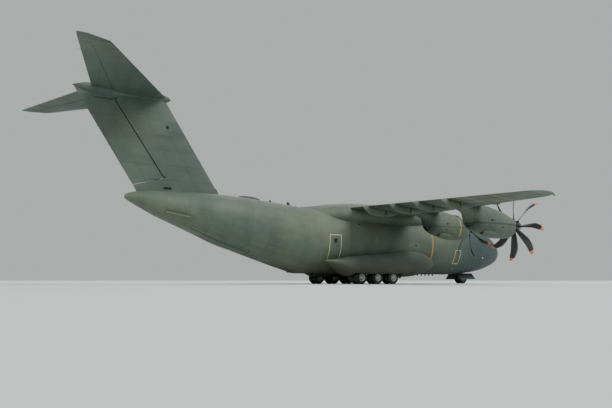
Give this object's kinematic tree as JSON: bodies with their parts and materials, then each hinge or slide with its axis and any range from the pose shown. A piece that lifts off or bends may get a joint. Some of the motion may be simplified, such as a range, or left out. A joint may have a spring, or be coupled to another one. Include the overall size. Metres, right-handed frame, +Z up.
{
  "type": "half-scale model of a military transport plane",
  "caption": "High-wing turboprop transport plane with T-tail, side sponsons, working rear ramp, doors, flaps, tail surfaces, propellers and wheels.",
  "frame": {"origin": "on the floor under the middle of the plane's length and span", "axes": "+X forward to the nose, +Y to the plane's left, +Z up"},
  "size_m": [22.55, 21.2, 7.21],
  "materials": {
    "hull_paint": "matte",
    "composite_paint": "matte",
    "radome_paint": "matte",
    "glass": "gloss",
    "cabin": "matte",
    "floor": "satin",
    "engine": "satin",
    "blade": "satin",
    "gear_paint": "satin",
    "tyre": "matte"
  },
  "bodies": {
    "airframe": {"radome": "radome_paint", "cockpit_shell": "hull_paint", "windscreen": "glass", "flight_deck": "cabin", "forward_fuselage": "hull_paint", "centre_fuselage": "hull_paint", "rear_fuselage": "hull_paint", "paratroop_door_left": "hull_paint", "paratroop_door_right": "hull_paint", "tail_cone": "composite_paint", "cargo_floor": "floor", "wing_fairing": "composite_paint", "wing_left": "composite_paint", "wing_right": "composite_paint", "nacelle_left_inner": "composite_paint", "nacelle_left_outer": "composite_paint", "nacelle_right_inner": "composite_paint", "nacelle_right_outer": "composite_paint", "engine_left_inner": "engine", "engine_left_outer": "engine", "engine_right_inner": "engine", "engine_right_outer": "engine", "sponson_left": "composite_paint", "sponson_right": "composite_paint", "main_legs_left": "gear_paint", "main_legs_right": "gear_paint", "nose_leg": "gear_paint", "nose_door_left": "hull_paint", "nose_door_right": "hull_paint", "fin": "composite_paint", "tailplane": "composite_paint"},
    "propeller_left_inner": {"propeller_left_inner": "blade"},
    "propeller_left_outer": {"propeller_left_outer": "blade"},
    "propeller_right_inner": {"propeller_right_inner": "blade"},
    "propeller_right_outer": {"propeller_right_outer": "blade"},
    "main_wheels_left_1": {"main_wheels_left_1": "tyre"},
    "main_wheels_left_2": {"main_wheels_left_2": "tyre"},
    "main_wheels_left_3": {"main_wheels_left_3": "tyre"},
    "main_wheels_right_1": {"main_wheels_right_1": "tyre"},
    "main_wheels_right_2": {"main_wheels_right_2": "tyre"},
    "main_wheels_right_3": {"main_wheels_right_3": "tyre"},
    "nose_steering": {"nose_fork": "gear_paint"},
    "nose_wheels": {"nose_wheels": "tyre"},
    "crew_door": {"crew_door": "hull_paint"},
    "cargo_ramp": {"cargo_ramp": "composite_paint"},
    "upper_cargo_door": {"upper_cargo_door": "hull_paint"},
    "rudder": {"rudder": "composite_paint"},
    "elevator_left": {"elevator_left": "composite_paint"},
    "elevator_right": {"elevator_right": "composite_paint"},
    "aileron_left": {"aileron_left": "composite_paint"},
    "aileron_right": {"aileron_right": "composite_paint"},
    "inner_flap_left": {"inner_flap_left": "composite_paint"},
    "inner_flap_right": {"inner_flap_right": "composite_paint"},
    "outer_flap_left": {"outer_flap_left": "composite_paint"},
    "outer_flap_right": {"outer_flap_right": "composite_paint"}
  },
  "joints": [
    {"name": "propeller_left_inner_spin", "type": "hinge", "parent": "airframe", "child": "propeller_left_inner", "pos_m": [5.75, 3.3, 2.37], "axis": [1, 0, 0], "continuous": true},
    {"name": "propeller_left_outer_spin", "type": "hinge", "parent": "airframe", "child": "propeller_left_outer", "pos_m": [4.825, 6.4, 2.225], "axis": [1, 0, 0], "continuous": true},
    {"name": "propeller_right_inner_spin", "type": "hinge", "parent": "airframe", "child": "propeller_right_inner", "pos_m": [5.75, -3.3, 2.37], "axis": [1, 0, 0], "continuous": true},
    {"name": "propeller_right_outer_spin", "type": "hinge", "parent": "airframe", "child": "propeller_right_outer", "pos_m": [4.825, -6.4, 2.225], "axis": [1, 0, 0], "continuous": true},
    {"name": "main_wheels_left_1_roll", "type": "hinge", "parent": "airframe", "child": "main_wheels_left_1", "pos_m": [2.675, 1.55, 0.26972], "axis": [0, 1, 0], "continuous": true},
    {"name": "main_wheels_left_2_roll", "type": "hinge", "parent": "airframe", "child": "main_wheels_left_2", "pos_m": [1.825, 1.55, 0.26972], "axis": [0, 1, 0], "continuous": true},
    {"name": "main_wheels_left_3_roll", "type": "hinge", "parent": "airframe", "child": "main_wheels_left_3", "pos_m": [0.975, 1.55, 0.26972], "axis": [0, 1, 0], "continuous": true},
    {"name": "main_wheels_right_1_roll", "type": "hinge", "parent": "airframe", "child": "main_wheels_right_1", "pos_m": [2.675, -1.55, 0.26972], "axis": [0, 1, 0], "continuous": true},
    {"name": "main_wheels_right_2_roll", "type": "hinge", "parent": "airframe", "child": "main_wheels_right_2", "pos_m": [1.825, -1.55, 0.26972], "axis": [0, 1, 0], "continuous": true},
    {"name": "main_wheels_right_3_roll", "type": "hinge", "parent": "airframe", "child": "main_wheels_right_3", "pos_m": [0.975, -1.55, 0.26972], "axis": [0, 1, 0], "continuous": true},
    {"name": "nose_gear_steer", "type": "hinge", "parent": "airframe", "child": "nose_steering", "pos_m": [8.675, 0, 0.5], "axis": [0, 0, 1], "range_deg": [-60, 60]},
    {"name": "nose_wheels_roll", "type": "hinge", "parent": "nose_steering", "child": "nose_wheels", "pos_m": [8.675, 0, 0.24274], "axis": [0, 1, 0], "continuous": true},
    {"name": "crew_door_hinge", "type": "hinge", "parent": "airframe", "child": "crew_door", "pos_m": [8.325, 0.8163, 0.71], "axis": [-1, 0, 0], "range_deg": [0, 92]},
    {"name": "cargo_ramp_hinge", "type": "hinge", "parent": "airframe", "child": "cargo_ramp", "pos_m": [-1.473, 0, 0.635], "axis": [0, -1, 0], "range_deg": [0, 26]},
    {"name": "upper_cargo_door_hinge", "type": "hinge", "parent": "airframe", "child": "upper_cargo_door", "pos_m": [-6.225, 0, 2.4], "axis": [0, -1, 0], "range_deg": [0, 20]},
    {"name": "rudder_hinge", "type": "hinge", "parent": "airframe", "child": "rudder", "pos_m": [-7, 0, 3.925], "axis": [-0.5781, 0, 0.816], "range_deg": [-25, 25]},
    {"name": "elevator_left_hinge", "type": "hinge", "parent": "airframe", "child": "elevator_left", "pos_m": [-9.035, 0.36, 7], "axis": [-0.4004, 0.9163, 0], "range_deg": [-15, 25]},
    {"name": "elevator_right_hinge", "type": "hinge", "parent": "airframe", "child": "elevator_right", "pos_m": [-9.035, -0.36, 7], "axis": [0.4004, 0.9163, 0], "range_deg": [-15, 25]},
    {"name": "aileron_left_hinge", "type": "hinge", "parent": "airframe", "child": "aileron_left", "pos_m": [0.9999, 7.6, 2.89651], "axis": [-0.1343, 0.9897, -0.05], "range_deg": [-25, 25]},
    {"name": "aileron_right_hinge", "type": "hinge", "parent": "airframe", "child": "aileron_right", "pos_m": [0.9999, -7.6, 2.89651], "axis": [0.1343, 0.9897, 0.05], "range_deg": [-25, 25]},
    {"name": "inner_flap_left_hinge", "type": "hinge", "parent": "airframe", "child": "inner_flap_left", "pos_m": [1.79911, 1.6, 2.83989], "axis": [0.1368, -0.99, 0.035], "range_deg": [0, 35]},
    {"name": "inner_flap_right_hinge", "type": "hinge", "parent": "airframe", "child": "inner_flap_right", "pos_m": [1.79911, -1.6, 2.83989], "axis": [-0.1368, -0.99, -0.035], "range_deg": [0, 35]},
    {"name": "outer_flap_left_hinge", "type": "hinge", "parent": "airframe", "child": "outer_flap_left", "pos_m": [1.79911, 1.6, 2.83989], "axis": [0.1368, -0.99, 0.035], "range_deg": [0, 35]},
    {"name": "outer_flap_right_hinge", "type": "hinge", "parent": "airframe", "child": "outer_flap_right", "pos_m": [1.79911, -1.6, 2.83989], "axis": [-0.1368, -0.99, -0.035], "range_deg": [0, 35]}
  ]
}
